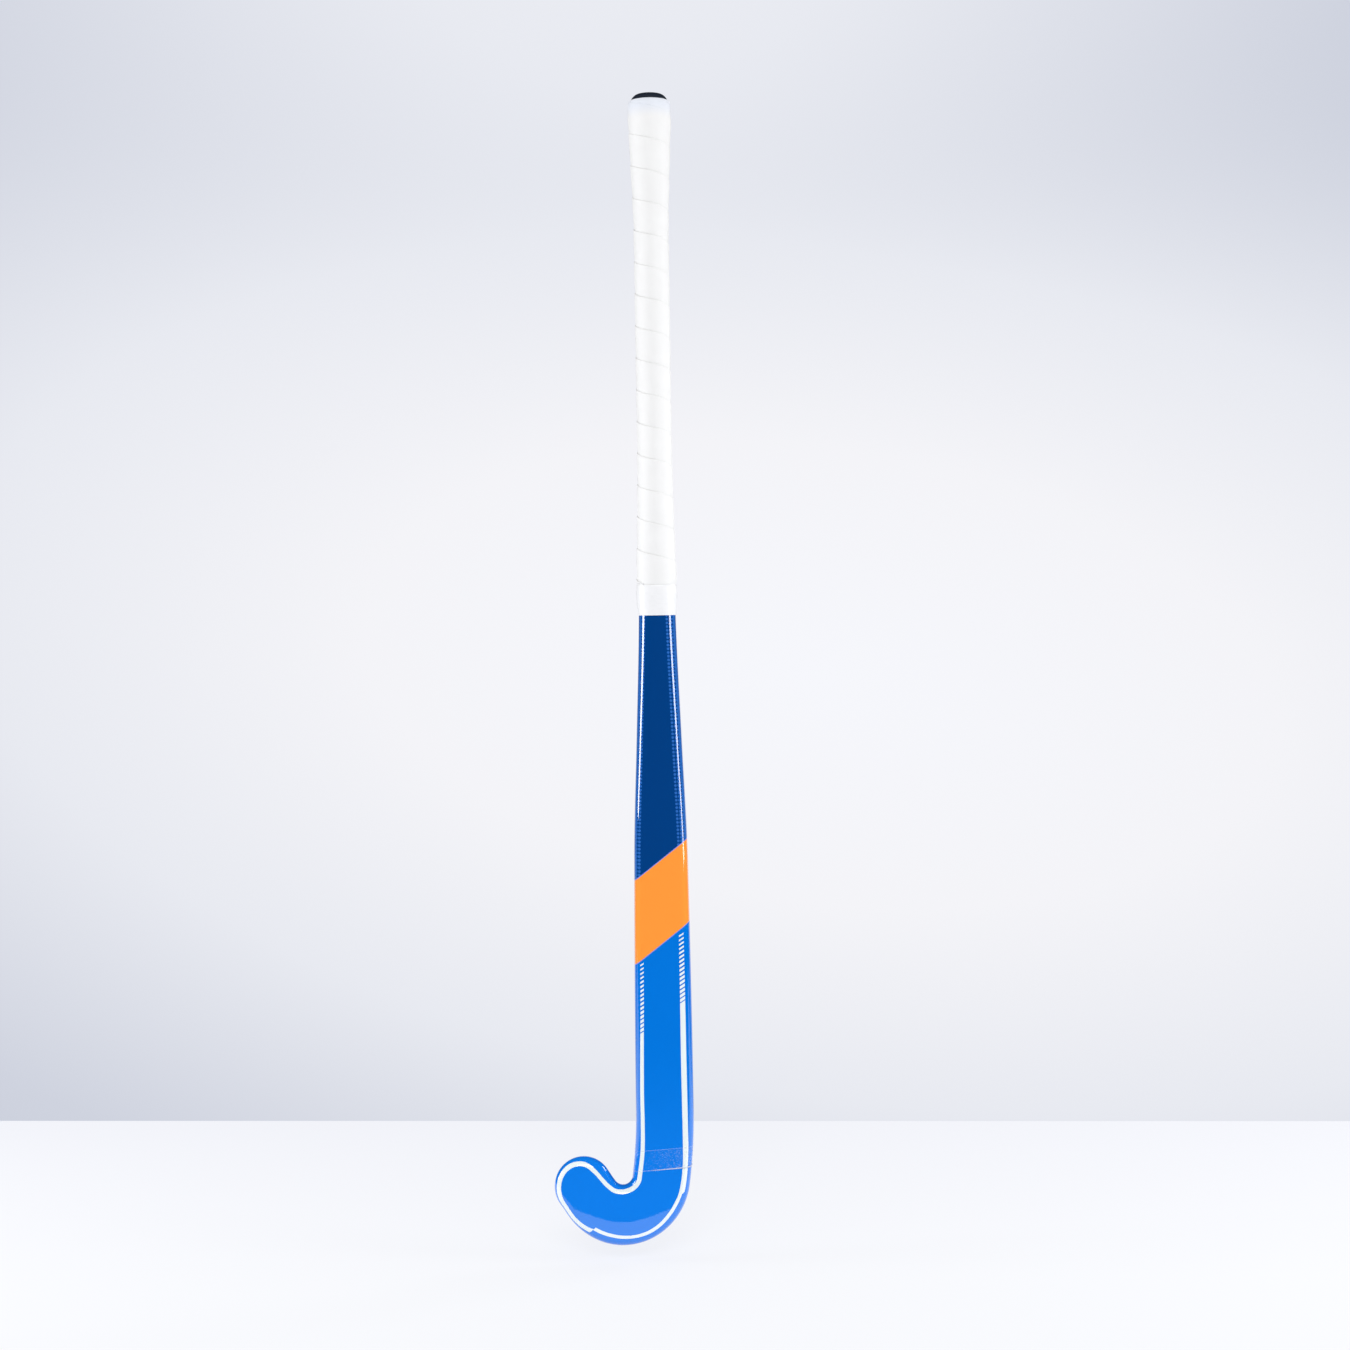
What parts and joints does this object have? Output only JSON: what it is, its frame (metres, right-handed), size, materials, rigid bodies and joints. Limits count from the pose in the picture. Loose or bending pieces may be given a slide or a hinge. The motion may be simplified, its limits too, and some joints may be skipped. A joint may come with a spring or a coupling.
{
  "type": "field hockey stick",
  "caption": "Field hockey stick: hollow moulded shaft with a flat face and a short hook, wound white grip, rubber end cap, blue and orange lacquer.",
  "frame": {"origin": "centre of the flat top of the end cap, at the butt of the handle", "axes": "+Z along the straight handle, out of the butt; the flat playing face looks along -Y; the toe of the hook points to -X"},
  "size_m": [0.1134, 0.0616, 0.927],
  "materials": {
    "shell_lacquer": "glossy clear coat over navy, orange and mid blue paint with printed white lines",
    "grip_tape": "white cushioned polyurethane tape, satin",
    "finishing_tape": "white vinyl tape, satin",
    "cap_rubber": "black moulded rubber, satin",
    "clear_film": "clear glossy film",
    "plug_plastic": "grey moulded plastic",
    "fibre_laminate": "bare black fibre laminate",
    "rigid_foam": "amber rigid polyurethane foam"
  },
  "bodies": {
    "root": {"outer_shell": "shell_lacquer", "grip_tape": "grip_tape", "grip_end_tape": "finishing_tape", "end_cap": "cap_rubber", "clear_film_band": "clear_film", "butt_plug": "plug_plastic", "handle_foam": "rigid_foam", "centre_rib": "fibre_laminate", "head_liner": "fibre_laminate", "head_core": "rigid_foam"}
  },
  "joints": []
}
